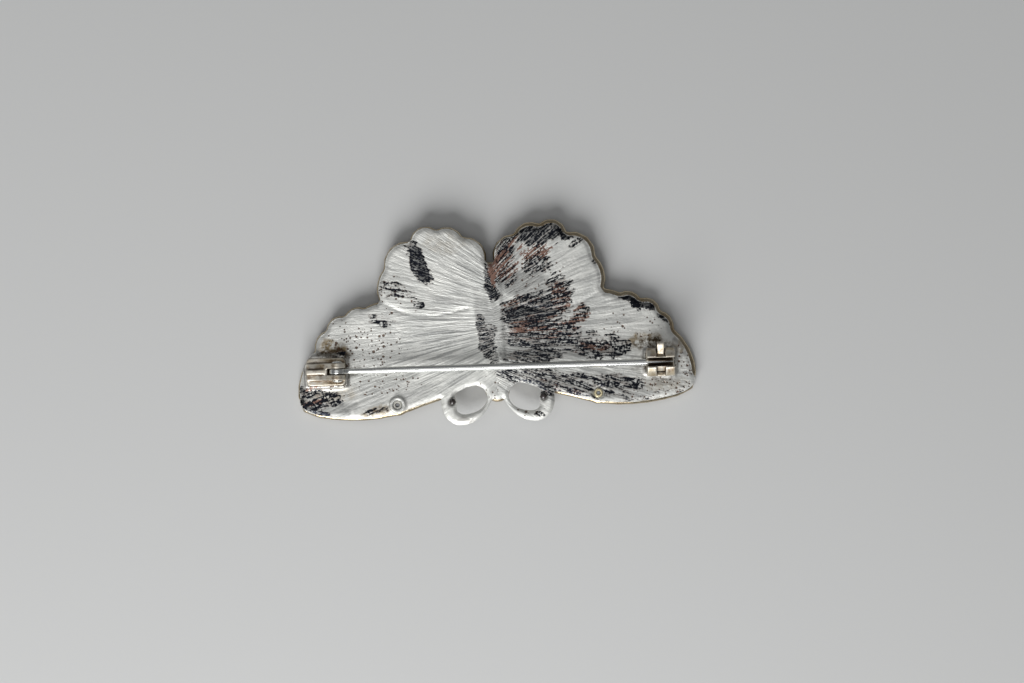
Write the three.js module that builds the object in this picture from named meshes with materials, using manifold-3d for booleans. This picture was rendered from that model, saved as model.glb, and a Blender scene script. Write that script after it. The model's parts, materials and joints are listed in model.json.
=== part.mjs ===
// Butterfly brooch, lying face down: a gold-tone front frame, a silver-tone back plate with its
// antennae, and the pin findings on the back. Millimetres, +Z towards the garment, +X along the wings.

import * as THREE from 'three';
import { mergeVertices } from 'three/addons/utils/BufferGeometryUtils.js';
import Module from 'manifold-3d';

const wasm = await Module();
wasm.setup();

// ---------- driving dimensions ----------

const halfSpan = 32.1;          // wing tip to the centre line
const bodyLength = 32.1;        // antenna bow to the top of the hindwings
const wingDroop = 1.6;          // how far the tips fall towards the front
const flatHalfWidth = 5;        // flat strip along the body, each side

const sheetThickness = 0.75;    // front frame's sheet
const plateThickness = 1.0;     // back plate
const seamGap = 0.05;           // between pieces that are soldered face to face
const rimRadius = 0.55;         // rolled bead around the front frame
const rimDrop = 0.6;            // bead centre below the seam between the two layers
const scallopMargin = 0.8;      // back plate stands in from the scalloped edge
const lowerMargin = 0.45;       // and from the smooth lower edge
const veinRadius = 0.3;
const veinBow = 0.9;            // how far a vein bows towards the hindwing's side
const veinStop = new THREE.Vector2(0.6, 0.3);   // a vein ends this far short of its cusp
const creaseRadius = 0.3;       // groove between hindwing and forewing
const creaseAxisLift = 0.12;    // its axis above the plate's back

const stoneRadius = 1.25;
const stoneFit = 0.08;          // round the stone in its collar
const collarWall = 0.45;
const collarHeight = 0.55;      // in front of the sheet
const collarOverlap = 0.3;      // collar's back end below the seam
const seatDepth = 0.45;         // stone's seat below the seam
const crownHeight = 0.35;       // stone in front of its collar
const tableShare = 0.58;        // stone's table as a share of its radius
const girdleInset = 0.2;        // girdle's middle behind the collar's front
const girdleHalf = 0.1;
const culetShare = 0.35;
const eyeletRadius = 0.72;
const eyeletHole = 0.28;
const eyeletFit = 0.08;
const eyeletProud = 0.06;       // lip above the plate's back
const bossRadius = 1.25;        // raised ring round the left eyelet
const bossHeight = 0.6;
const bossRoot = 0.4;           // its lower end above the seam

const antennaStoneRadius = 0.55;
const antennaStoneFit = 0.07;
const antennaStoneLift = 0.08;  // bead's centre above the plate's back
const antennaPocketDepth = 0.55;

const pinHeight = 1.75;         // pin's axis above the back plate's flat strip
const pinRadius = 0.53;
const pinNeckRadius = 0.4;      // where the stem is drawn down to its eye
const pinTaper = 5.0;           // length of the point
const tipRadius = 0.1;
const eyeRadius = 1.25;
const eyeThickness = 0.75;
const eyeSideGap = 0.13;        // eye to each ear
const eyeWell = 0.15;           // round the eye, in the hinge

const rivetRadius = 0.5;
const rivetRunning = 0.08;      // in the eye
const rivetSeat = 0.05;         // in the ears
const rivetHeadRadius = 0.85;
const rivetHeadHeight = 0.35;
const rivetHeadGap = 0.03;      // under each head

const earThickness = 0.85;
const earRadius = 1.2;
const earTail = 5.0;            // ears run back from the rivet
const earTailHeight = 0.7;
const ledgeDrop = 0.35;         // ledge behind the eye, below the pin's axis
const ledgeSetback = 0.35;      // and behind the eye's rim
const hingeFootWidth = 4.4;
const footThickness = 0.5;
const padHeight = 0.35;         // cast pads under the findings, above the plate at their inner end
const padMargin = 0.45;
const padDepth = 1.2;           // pads reach down into the plate by this much
const padCorner = 0.9;

const barrelLength = 4.4;
const barrelRadius = 2.25;
const rollerRadius = 1.5;
const rollerBore = 0.8;
const rollerRunning = 0.1;
const rollerEndPlay = 0.08;
const mouthWidth = 1.3;         // slot that the pin drops through
const windowWidth = 1.4;        // slot for the roller's tab
const tabReach = 3.5;
const tabThickness = 0.75;
const tabAngle = 25;            // degrees above level when the catch is open
const tabPlay = 0.12;
const catchFootWidth = 3.4;
const blockWidthShare = 0.8;    // block between barrel and foot, as a share of the foot's width
const blockTopShare = 0.55;     // its top below the axis, as a share of the barrel's radius
const webTop = 0.12;            // window's lower edge above the axis

const sliver = 0.004;           // smallest edge kept where surfaces cross
const speckVolume = 1e-5;       // largest void, in cubic millimetres, filled where they close on each other

// ---------- levels worked out from them ----------

const tipSeam = rimDrop + rimRadius;
const seamZ = tipSeam + wingDroop;
const backZ = seamZ + seamGap / 2 + plateThickness;
const pinZ = backZ + pinHeight;

const drawnHalfSpan = 32.1;     // the outline below is drawn at this size
const drawnLength = 32.1;
const widthScale = halfSpan / drawnHalfSpan;
const lengthScale = bodyLength / drawnLength;

function at(x, y) {
  return new THREE.Vector2(x * widthScale, y * lengthScale);
}

// Places on the wings, as points of the outline's drawing.
const stonePlace = at(16.0, -12.35);
const antennaStonePlace = at(7.25, -12.35);
const hingePlace = at(-25.1, -6.45);      // rivet's centre
const catchPlace = at(26.05, -8.0);       // middle of the catch's barrel

const pinSpan = hingePlace.distanceTo(catchPlace);
const pinTurn = Math.atan2(catchPlace.y - hingePlace.y, catchPlace.x - hingePlace.x);

// Height of the seam between the two layers at a distance x from the centre line.
function seamAt(x) {
  const reach = THREE.MathUtils.clamp((Math.abs(x) - flatHalfWidth) / (halfSpan - flatHalfWidth), 0, 1.2);
  return seamZ - wingDroop * reach * reach;
}

// ---------- solids ----------

function solidOf(geometry) {
  const bare = geometry.clone();
  bare.deleteAttribute('normal');
  bare.deleteAttribute('uv');
  const merged = mergeVertices(bare, 1e-5);
  const vertProperties = new Float32Array(merged.attributes.position.array);
  const triVerts = new Uint32Array(merged.index.array);
  return new wasm.Manifold(new wasm.Mesh({ numProp: 3, vertProperties, triVerts }));
}

// Fills the specks of void that crossing surfaces close off. A larger void stays as it is.
function withoutSpecks(solid) {
  const shells = solid.decompose();
  const kept = shells.filter((shell) => shell.volume() > 0 || shell.volume() < -speckVolume);
  return kept.length < shells.length ? wasm.Manifold.compose(kept) : solid;
}

// The joined solid's mesh, without the slivers that cuts leave.
function geometryOf(solid) {
  const mesh = withoutSpecks(solid.setTolerance(sliver)).getMesh();
  const geometry = new THREE.BufferGeometry();
  geometry.setAttribute('position', new THREE.BufferAttribute(mesh.vertProperties, 3));
  geometry.setIndex(new THREE.BufferAttribute(mesh.triVerts, 1));
  geometry.computeVertexNormals();
  return geometry;
}

function box(width, depth, height, x, y, z) {
  return solidOf(new THREE.BoxGeometry(width, depth, height).translate(x, y, z));
}

// An upright round bar between two heights.
function post(radius, bottom, top, x, y, sides = 20) {
  const bar = new THREE.CylinderGeometry(radius, radius, top - bottom, sides);
  return solidOf(bar.rotateX(Math.PI / 2).translate(x, y, (bottom + top) / 2));
}

// A round bar along Y and one along X, both centred on (x, z) at y = 0.
function barAlongY(radius, length, x, z, sides = 20) {
  return solidOf(new THREE.CylinderGeometry(radius, radius, length, sides).translate(x, 0, z));
}

function barAlongX(radius, length, x, z, sides = 28) {
  return solidOf(new THREE.CylinderGeometry(radius, radius, length, sides)
    .rotateZ(Math.PI / 2).translate(x, 0, z));
}

function prism(points, bottom, top) {
  const shape = new THREE.Shape(points);
  const geometry = new THREE.ExtrudeGeometry(shape, { depth: top - bottom, bevelEnabled: false });
  return solidOf(geometry.translate(0, 0, bottom));
}

function roundedPad(width, depth, corner, bottom, top, x, y) {
  const shape = new THREE.Shape();
  const right = width / 2;
  const up = depth / 2;
  shape.moveTo(-right + corner, -up);
  shape.absarc(right - corner, -up + corner, corner, -Math.PI / 2, 0);
  shape.absarc(right - corner, up - corner, corner, 0, Math.PI / 2);
  shape.absarc(-right + corner, up - corner, corner, Math.PI / 2, Math.PI);
  shape.absarc(-right + corner, -up + corner, corner, Math.PI, Math.PI * 1.5);
  const options = { depth: top - bottom, bevelEnabled: false, curveSegments: 5 };
  return solidOf(new THREE.ExtrudeGeometry(shape, options).translate(x, y, bottom));
}

// A round wire through some points.
function wire(points, radius, steps, sides = 8) {
  const section = new THREE.Shape();
  section.absarc(0, 0, radius, 0, Math.PI * 2);
  const ring = new THREE.Shape(section.getSpacedPoints(sides).slice(0, sides));
  const path = new THREE.CatmullRomCurve3(points);
  return solidOf(new THREE.ExtrudeGeometry(ring, { steps, extrudePath: path, bevelEnabled: false }));
}

// A slab that follows the wings' droop, between two offsets from the seam.
function droopedSlab(below, above) {
  const strips = 8;
  const reach = halfSpan + 2;
  const xs = [-reach];
  for (let i = -strips; i <= strips; i += 1) {
    const share = Math.abs(i) / strips;
    xs.push(Math.sign(i) * (flatHalfWidth + (halfSpan - flatHalfWidth) * share));
  }
  xs[strips + 1] = -flatHalfWidth;
  xs.splice(strips + 2, 0, flatHalfWidth);
  xs.push(reach);
  const stations = [...new Set(xs)].sort((a, b) => a - b);
  const lower = stations.map((x) => new THREE.Vector2(x, seamAt(x) + below));
  const upper = stations.map((x) => new THREE.Vector2(x, seamAt(x) + above)).reverse();
  const shape = new THREE.Shape([...lower, ...upper]);
  const depth = bodyLength + 8;
  const slab = new THREE.ExtrudeGeometry(shape, { depth, bevelEnabled: false });
  return solidOf(slab.rotateX(Math.PI / 2).translate(0, depth / 2, 0));
}

// ---------- outline of the wings ----------

// Cusps of the right wings from the notch to the tip, each with the rise of the scallop that ends there.
const notch = at(0.5, 9.5);
const cusps = [
  { end: at(4.0, 13.8), rise: 1.4 },
  { end: at(8.2, 15.2), rise: 0.95 },
  { end: at(12.6, 13.6), rise: 1.4 },
  { end: at(17.0, 9.45), rise: 1.5 },
  { end: at(18.0, 4.2), rise: 0.75 },
  { end: at(20.4, 3.45), rise: 0.15 },
  { end: at(23.7, 2.35), rise: 0.7 },
  { end: at(26.8, 0.2), rise: 0.9 },
  { end: at(28.8, -2.9), rise: 0.7 },
  { end: at(31.95, -10.1), rise: 0.8 },
];
const wingJunction = cusps[4].end;

// The smooth edge from the tip along the forewing to the neck.
const lowerEdge = [
  at(32.1, -11.1), at(31.55, -12.3), at(29.9, -13.4), at(26.0, -14.25), at(21.0, -14.6), at(16.0, -14.1),
  at(11.5, -12.75), at(8.6, -11.95), at(6.2, -10.9), at(3.2, -9.25),
];
const headStart = at(1.9, -10.1);
const headRise = 2.85 * lengthScale;

// A circular arc that bulges to the left of the way from one point to the other.
function bulge(from, to, rise) {
  const chord = to.clone().sub(from);
  const outward = new THREE.Vector2(-chord.y, chord.x).normalize();
  const radius = (chord.lengthSq() / 4 + rise * rise) / (2 * rise);
  const centre = from.clone().add(to).multiplyScalar(0.5).addScaledVector(outward, rise - radius);
  const start = from.clone().sub(centre).angle();
  const sweep = -2 * Math.asin(Math.min(1, chord.length() / 2 / radius));
  const turn = rise > radius ? -2 * Math.PI - sweep : sweep;
  return { centre, radius, start, turn };
}

function pointOn(arc, share, inset) {
  const angle = arc.start + arc.turn * share;
  const radius = arc.radius - inset;
  return new THREE.Vector2(arc.centre.x + radius * Math.cos(angle), arc.centre.y + radius * Math.sin(angle));
}

function arcPoints(arc, inset, count, overrun = 0) {
  const points = [];
  for (let i = 0; i <= count; i += 1) {
    points.push(pointOn(arc, -overrun + (1 + 2 * overrun) * (i / count), inset));
  }
  return points;
}

const scallops = cusps.map((cusp, i) => bulge(i ? cusps[i - 1].end : notch, cusp.end, cusp.rise));
const headArc = bulge(headStart, new THREE.Vector2(-headStart.x, headStart.y), headRise);

// Points along the lower edge, moved inwards.
function lowerPoints(inset, count) {
  const curve = new THREE.SplineCurve(lowerEdge);
  const points = [];
  for (let i = 0; i <= count; i += 1) {
    const point = curve.getPoint(i / count);
    const along = curve.getTangent(i / count);
    points.push(new THREE.Vector2(point.x + along.y * inset, point.y - along.x * inset));
  }
  return points;
}

// The whole closed outline at the given insets, running clockwise from the notch.
function outline(scallopInset, lowerInset) {
  const right = [new THREE.Vector2(notch.x, notch.y - scallopInset)];
  scallops.forEach((arc) => right.push(...arcPoints(arc, scallopInset, 5)));
  right.push(...lowerPoints(lowerInset, 14));
  const head = arcPoints(headArc, lowerInset, 9);
  const left = right.map((p) => new THREE.Vector2(-p.x, p.y)).reverse();
  const loop = [...right, ...head, ...left];
  return loop.filter((p, i) => p.distanceTo(loop[(i + 1) % loop.length]) > 0.02).reverse();
}

// ---------- front frame ----------

function onRim(point) {
  return new THREE.Vector3(point.x, point.y, seamAt(point.x) - rimDrop);
}

function sidePlace(place, side) {
  return new THREE.Vector2(place.x * side, place.y);
}

function bothSides(makeSide) {
  return makeSide(1).add(makeSide(-1));
}

function flip(points, side) {
  return points.map((p) => new THREE.Vector3(p.x * side, p.y, p.z));
}

function rim(side) {
  const tipEnd = pointOn(scallops[scallops.length - 1], 1, rimRadius);
  const neck = pointOn(headArc, 0, rimRadius);
  const lower = [tipEnd, ...lowerPoints(rimRadius, 14), neck].map(onRim);
  let bead = wire(flip(lower, side), rimRadius, 14, 7);
  scallops.forEach((arc) => {
    const overrun = 0.25 / (arc.radius * Math.abs(arc.turn));
    const points = arcPoints(arc, rimRadius, 6, overrun).map(onRim);
    bead = bead.add(wire(flip(points, side), rimRadius, 4, 7));
  });
  return bead;
}

// Raised veins fan out from the body to the cusps, on the front face.
function veins(side) {
  const frontOf = (x) => seamAt(x) - seamGap / 2 - sheetThickness;
  const roots = [at(1.5, 3.4), at(1.6, 2.4), at(1.8, 1.3), at(1.9, -0.9), at(2.0, -2.2), at(2.1, -3.6)];
  const ends = [0, 2, 3, 6, 8, 9].map((i) => cusps[i].end);
  let fan = null;
  ends.forEach((end, i) => {
    const root = roots[i];
    const points = [];
    for (let step = 0; step <= 4; step += 1) {
      const share = step / 4;
      const bow = Math.sin(share * Math.PI) * veinBow;
      const x = THREE.MathUtils.lerp(root.x, end.x - veinStop.x, share);
      const y = THREE.MathUtils.lerp(root.y, end.y - veinStop.y, share) + bow;
      points.push(new THREE.Vector3(x * side, y, frontOf(x)));
    }
    const vein = wire(points, veinRadius, 3, 5);
    fan = fan ? fan.add(vein) : vein;
  });
  return fan;
}

// The insect's body stands out of the front and ends in a flat where the brooch lies on a table.
function body() {
  const frontZ = seamZ - seamGap / 2 - sheetThickness;
  const lobes = [
    { tail: -12.5, head: -9.3, width: 1.65 },
    { tail: -9.3, head: -3.1, width: 2.3 },
    { tail: -3.1, head: 1.2, width: 2.05 },
    { tail: 1.2, head: 4.4, width: 1.85 },
    { tail: 4.4, head: 7.0, width: 1.65 },
    { tail: 7.0, head: 9.0, width: 1.2 },
  ];
  const waist = 0.62;
  const profile = [new THREE.Vector2(0, lobes[0].tail)];
  lobes.forEach((lobe) => {
    [0.12, 0.5, 0.88].forEach((share) => {
      const radius = lobe.width * (share === 0.5 ? 1 : waist);
      profile.push(new THREE.Vector2(radius, THREE.MathUtils.lerp(lobe.tail, lobe.head, share)));
    });
  });
  profile.push(new THREE.Vector2(0, lobes[lobes.length - 1].head));
  const shape = new THREE.LatheGeometry(profile.map((p) => new THREE.Vector2(p.x, p.y * lengthScale)), 12);
  const lastToTouch = lobes[4].width;
  shape.scale(1, 1, (frontZ + 0.3) / lastToTouch);
  const top = frontZ + sheetThickness / 2;
  return solidOf(shape.translate(0, 0, frontZ)).intersect(box(10, 60, top, 0, 0, top / 2));
}

// Heights of the stones' seats: the seam under them and the front of their collars.
const stoneSeam = seamAt(stonePlace.x);
const collarFront = stoneSeam - seamGap / 2 - sheetThickness - collarHeight;

function frontFrame() {
  const inset = rimRadius;
  const field = prism(outline(inset, inset), -5, 10);
  let frame = droopedSlab(-seamGap / 2 - sheetThickness, -seamGap / 2).intersect(field);
  frame = frame.add(bothSides(rim));
  frame = frame.add(wire(arcPoints(headArc, inset, 12, 0.02).map(onRim), rimRadius, 9, 7));
  const bridge = [-1, 1].map((side) => onRim(new THREE.Vector2(side * (notch.x + 0.6), notch.y - inset)));
  frame = frame.add(wire(bridge, rimRadius, 2));
  frame = frame.add(bothSides(veins)).add(body());
  const collar = stoneRadius + stoneFit + collarWall;
  [-1, 1].forEach((side) => {
    const { x, y } = sidePlace(stonePlace, side);
    frame = frame.add(post(collar, collarFront, stoneSeam - collarOverlap, x, y, 24));
    frame = frame.subtract(post(stoneRadius + stoneFit, collarFront - 1, stoneSeam - seatDepth, x, y, 24));
    frame = frame.subtract(post(eyeletRadius + eyeletFit, collarFront, stoneSeam + 2, x, y, 18));
  });
  return frame;
}

// ---------- back plate ----------

// One antenna: a flat bow from the head to a rounded club on the forewing's edge.
function antenna(side) {
  const bow = [
    at(0.6, -11.0), at(1.2, -12.9), at(2.2, -14.4), at(3.4, -15.45), at(5.0, -16.1), at(6.9, -16.05),
    at(8.3, -15.0), at(8.95, -13.4), at(9.0, -12.2), at(8.3, -10.9), at(5.2, -9.2), at(2.2, -8.2),
  ];
  const opening = [
    at(3.3, -9.5), at(5.2, -10.4), at(6.9, -11.25), at(6.5, -12.5), at(6.7, -13.7), at(6.0, -14.4),
    at(4.4, -14.4), at(2.9, -13.85), at(1.95, -12.9), at(1.7, -11.7), at(2.35, -10.4),
  ];
  const smooth = (points, count) => {
    const loop = new THREE.CatmullRomCurve3(points.map((p) => new THREE.Vector3(p.x * side, p.y, 0)), true);
    return loop.getPoints(count).slice(0, count).map((p) => new THREE.Vector2(p.x, p.y));
  };
  const bottom = seamZ + seamGap / 2;
  const flat = prism(smooth(bow, 36), bottom, backZ);
  return flat.subtract(prism(smooth(opening, 30), bottom - 1, backZ + 1));
}

// Findings are placed along the pin's own line, from the hinge towards the catch.
function alongPin(solid) {
  return solid.rotate([0, 0, THREE.MathUtils.radToDeg(pinTurn)]).translate([hingePlace.x, hingePlace.y, 0]);
}

function padTopAt(x) {
  return seamAt(x) + seamGap / 2 + plateThickness + padHeight;
}

const hingePadTop = padTopAt(hingePlace.x);
const catchPadTop = padTopAt(catchPlace.x);
const hingeFootLength = earTail + earRadius;
const hingeFootMiddle = (earRadius - earTail) / 2;

function backPlate() {
  const field = prism(outline(scallopMargin, lowerMargin), -5, 10);
  const inner = prism(outline(rimRadius, lowerMargin), -5, 10);
  let plate = droopedSlab(seamGap / 2, seamGap / 2 + plateThickness).intersect(field);
  plate = plate.add(bothSides(antenna));

  const hingePad = roundedPad(hingeFootLength + padMargin, hingeFootWidth + 2 * padMargin, padCorner,
    hingePadTop - padDepth, hingePadTop, hingeFootMiddle, 0);
  const catchPad = roundedPad(barrelLength + 2 * padMargin, catchFootWidth + 2 * padMargin, padCorner,
    catchPadTop - padDepth, catchPadTop, pinSpan, 0);
  plate = plate.add(alongPin(hingePad).intersect(inner)).add(alongPin(catchPad).intersect(inner));

  // The plate's underside stays on the seam below the pads.
  plate = plate.subtract(droopedSlab(-6, seamGap / 2));

  const stoneBack = stoneSeam + seamGap / 2 + plateThickness;
  const bossTop = stoneBack + bossHeight;
  plate = plate.add(post(bossRadius, stoneSeam + bossRoot, bossTop, -stonePlace.x, stonePlace.y));
  [-1, 1].forEach((side) => {
    const hole = sidePlace(stonePlace, side);
    const pocket = sidePlace(antennaStonePlace, side);
    plate = plate.subtract(post(eyeletRadius + eyeletFit, stoneSeam - 1, backZ + 2, hole.x, hole.y, 18));
    plate = plate.subtract(post(antennaStoneRadius + antennaStoneFit, backZ - antennaPocketDepth, backZ + 1,
      pocket.x, pocket.y, 16));
    plate = plate.subtract(creaseCut(side));
  });
  return plate;
}

// A shallow groove parts the hindwing from the forewing.
function creaseCut(side) {
  const route = [at(19.2, 4.4), wingJunction, at(13.5, 2.0), at(8.5, 1.5), at(3.6, 2.4)];
  const axisAt = (x) => seamAt(x) + plateThickness + creaseAxisLift;
  const points = route.map((p) => new THREE.Vector3(p.x * side, p.y, axisAt(p.x)));
  return wire(points, creaseRadius, 12, 6);
}

// ---------- stones ----------

function forewingStone() {
  const culet = stoneSeam - seatDepth - 2 * seamGap;
  const girdle = collarFront + girdleInset;
  const profile = [
    new THREE.Vector2(0, collarFront - crownHeight),
    new THREE.Vector2(stoneRadius * tableShare, collarFront - crownHeight),
    new THREE.Vector2(stoneRadius, girdle - girdleHalf),
    new THREE.Vector2(stoneRadius, girdle + girdleHalf),
    new THREE.Vector2(stoneRadius * culetShare, culet),
    new THREE.Vector2(0, culet),
  ];
  return new THREE.LatheGeometry(profile, 12).rotateX(Math.PI / 2);
}

function eyelet() {
  const front = stoneSeam - seatDepth + seamGap;
  const back = stoneSeam + seamGap / 2 + plateThickness + eyeletProud;
  const profile = [
    new THREE.Vector2(eyeletHole, front),
    new THREE.Vector2(eyeletRadius, front),
    new THREE.Vector2(eyeletRadius, back - 0.1),
    new THREE.Vector2(eyeletRadius - 0.12, back),
    new THREE.Vector2(eyeletHole + 0.1, back - 0.04),
    new THREE.Vector2(eyeletHole, back - 0.2),
    new THREE.Vector2(eyeletHole, front),
  ];
  return new THREE.LatheGeometry(profile, 18).rotateX(Math.PI / 2);
}

function antennaStone() {
  return new THREE.SphereGeometry(antennaStoneRadius, 12, 8).rotateX(Math.PI / 2);
}

// ---------- hinge ----------

function ear(y) {
  const foot = hingePadTop + seamGap;
  const side = new THREE.Shape();
  side.moveTo(earRadius, foot);
  side.lineTo(earRadius, pinZ);
  side.absarc(0, pinZ, earRadius, 0, THREE.MathUtils.degToRad(140), false);
  side.quadraticCurveTo(-earTail * 0.45, foot + earTailHeight * 1.3, -earTail, foot + earTailHeight);
  side.lineTo(-earTail, foot);
  const options = { depth: earThickness, bevelEnabled: false, curveSegments: 10 };
  return solidOf(new THREE.ExtrudeGeometry(side, options).rotateX(Math.PI / 2)
    .translate(0, y + earThickness / 2, 0));
}

function hingeJoint() {
  const foot = hingePadTop + seamGap;
  const earY = eyeThickness / 2 + eyeSideGap + earThickness / 2;
  const top = foot + footThickness;
  let joint = roundedPad(hingeFootLength, hingeFootWidth, 0.7, foot, top, hingeFootMiddle, 0);
  joint = joint.add(ear(earY)).add(ear(-earY));
  // A ledge behind the eye carries on the line of the pin.
  const ledgeFront = -eyeRadius - ledgeSetback;
  const ledgeTop = pinZ - ledgeDrop;
  const ledge = box(earTail + ledgeFront, eyeThickness, ledgeTop - foot,
    (ledgeFront - earTail) / 2, 0, (ledgeTop + foot) / 2);
  joint = joint.add(ledge);
  const well = barAlongY(eyeRadius + eyeWell, eyeThickness + 2 * eyeSideGap, 0, pinZ, 24);
  return joint.subtract(well).subtract(barAlongY(rivetRadius + rivetSeat, 9, 0, pinZ));
}

function hingeRivet() {
  const face = eyeThickness / 2 + eyeSideGap + earThickness + rivetHeadGap;
  const profile = [
    new THREE.Vector2(0, -face - rivetHeadHeight),
    new THREE.Vector2(rivetHeadRadius * 0.6, -face - rivetHeadHeight * 0.85),
    new THREE.Vector2(rivetHeadRadius, -face - rivetHeadHeight * 0.3),
    new THREE.Vector2(rivetHeadRadius, -face),
    new THREE.Vector2(rivetRadius, -face),
    new THREE.Vector2(rivetRadius, face),
    new THREE.Vector2(rivetHeadRadius, face),
    new THREE.Vector2(rivetHeadRadius, face + rivetHeadHeight * 0.3),
    new THREE.Vector2(rivetHeadRadius * 0.6, face + rivetHeadHeight * 0.85),
    new THREE.Vector2(0, face + rivetHeadHeight),
  ];
  return new THREE.LatheGeometry(profile, 20);
}

// ---------- pin ----------

function pinStem() {
  const tip = pinSpan + barrelLength / 2 - 0.15;
  const profile = [
    new THREE.Vector2(0, eyeRadius * 0.7),
    new THREE.Vector2(pinNeckRadius * 0.85, eyeRadius * 0.7),
    new THREE.Vector2(pinNeckRadius, 2.0),
    new THREE.Vector2(pinRadius, 11),
    new THREE.Vector2(pinRadius, tip - pinTaper),
    new THREE.Vector2(pinRadius * 0.72, tip - pinTaper * 0.42),
    new THREE.Vector2(tipRadius, tip - 0.1),
    new THREE.Vector2(0, tip),
  ];
  const stem = solidOf(new THREE.LatheGeometry(profile, 14).rotateZ(-Math.PI / 2).translate(0, 0, pinZ));
  const eye = barAlongY(eyeRadius, eyeThickness, 0, pinZ, 24);
  return stem.add(eye).subtract(barAlongY(rivetRadius + rivetRunning, 4, 0, pinZ, 24));
}

// ---------- catch ----------

const shellBore = rollerRadius + rollerRunning;

function catchShell() {
  const foot = catchPadTop + seamGap;
  let shell = barAlongX(barrelRadius, barrelLength, pinSpan, pinZ, 36);
  const block = pinZ - barrelRadius * blockTopShare;
  const blockWidth = catchFootWidth * blockWidthShare;
  shell = shell.add(box(barrelLength, blockWidth, block - foot, pinSpan, 0, (block + foot) / 2));
  const footTop = foot + footThickness * 0.7;
  shell = shell.add(roundedPad(barrelLength, catchFootWidth, 0.5, foot, footTop, pinSpan, 0));
  const below = box(20, 20, 10, pinSpan, 0, foot - 5);
  shell = shell.subtract(below);
  shell = shell.subtract(barAlongX(shellBore, barrelLength + 2, pinSpan, pinZ, 36));
  const slot = mouthWidth + 0.2;
  shell = shell.subtract(box(barrelLength + 2, slot, 6, pinSpan, 0, pinZ + 3));
  return shell.subtract(box(windowWidth, 12, 6, pinSpan, 0, pinZ + webTop + 3));
}

function catchRoller() {
  const length = barrelLength - 2 * rollerEndPlay;
  let roller = barAlongX(rollerRadius, length, 0, 0, 36);
  const tabWidth = windowWidth - 2 * tabPlay;
  const tabLength = tabReach - tabThickness / 2 - 1;
  const blade = new THREE.BoxGeometry(tabWidth, tabLength, tabThickness).translate(0, 1 + tabLength / 2, 0);
  const end = new THREE.CylinderGeometry(tabThickness / 2, tabThickness / 2, tabWidth, 16);
  end.rotateZ(Math.PI / 2).translate(0, tabReach - tabThickness / 2, 0);
  const lean = THREE.MathUtils.degToRad(tabAngle);
  roller = roller.add(solidOf(blade.rotateX(lean))).add(solidOf(end.rotateX(lean)));
  roller = roller.subtract(barAlongX(rollerBore, barrelLength + 2, 0, 0, 28));
  return roller.subtract(box(barrelLength + 2, mouthWidth, 6, 0, 0, 3));
}

// ---------- finishes ----------

function metal(colour, roughness) {
  return new THREE.MeshStandardMaterial({ color: colour, roughness, metalness: 1 });
}

const silverCasting = metal(0xc9cac6, 0.34);
const goldFrame = metal(0xb79a63, 0.3);
const brightSteel = metal(0xd5d6d4, 0.16);
const warmNickel = metal(0xcfc8b8, 0.2);
const paleBrass = metal(0xd2bd84, 0.32);
const clearStone = new THREE.MeshStandardMaterial({ color: 0xe8edf0, roughness: 0.05, metalness: 0.1 });
const blackStone = new THREE.MeshStandardMaterial({ color: 0x141416, roughness: 0.08, metalness: 0 });

// ---------- assembly ----------

const brooch = new THREE.Group();

function addPiece(parent, name, geometry, material, x = 0, y = 0, z = 0) {
  const mesh = new THREE.Mesh(geometry, material);
  mesh.name = name;
  mesh.position.set(x, y, z);
  parent.add(mesh);
  return mesh;
}

addPiece(brooch, 'back_plate', geometryOf(backPlate()), silverCasting);
addPiece(brooch, 'front_frame', geometryOf(frontFrame()), goldFrame);
[['left', -1], ['right', 1]].forEach(([name, side]) => {
  addPiece(brooch, `forewing_stone_${name}`, forewingStone(), clearStone, side * stonePlace.x, stonePlace.y);
  addPiece(brooch, `stone_eyelet_${name}`, eyelet(), paleBrass, side * stonePlace.x, stonePlace.y);
  addPiece(brooch, `antenna_stone_${name}`, antennaStone(), blackStone,
    side * antennaStonePlace.x, antennaStonePlace.y, backZ + antennaStoneLift);
});

const findings = new THREE.Group();
findings.position.set(hingePlace.x, hingePlace.y, 0);
findings.rotation.z = pinTurn;
brooch.add(findings);

addPiece(findings, 'hinge_joint', geometryOf(hingeJoint()), warmNickel);
addPiece(findings, 'hinge_rivet', hingeRivet(), brightSteel, 0, 0, pinZ);
addPiece(findings, 'pin_stem', geometryOf(pinStem()), brightSteel);
addPiece(findings, 'catch_shell', geometryOf(catchShell()), warmNickel);
addPiece(findings, 'catch_roller', geometryOf(catchRoller()), warmNickel, pinSpan, 0, pinZ);

// The origin is under the middle of the whole brooch, on the surface it lies on.
const extent = new THREE.Box3().setFromObject(brooch, true);
const middle = extent.getCenter(new THREE.Vector3());
brooch.position.set(-middle.x, -middle.y, -extent.min.z);

export default brooch;
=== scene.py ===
import json
import math

import bmesh
import bpy
from mathutils import Matrix, Vector, bvhtree, kdtree, noise


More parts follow.
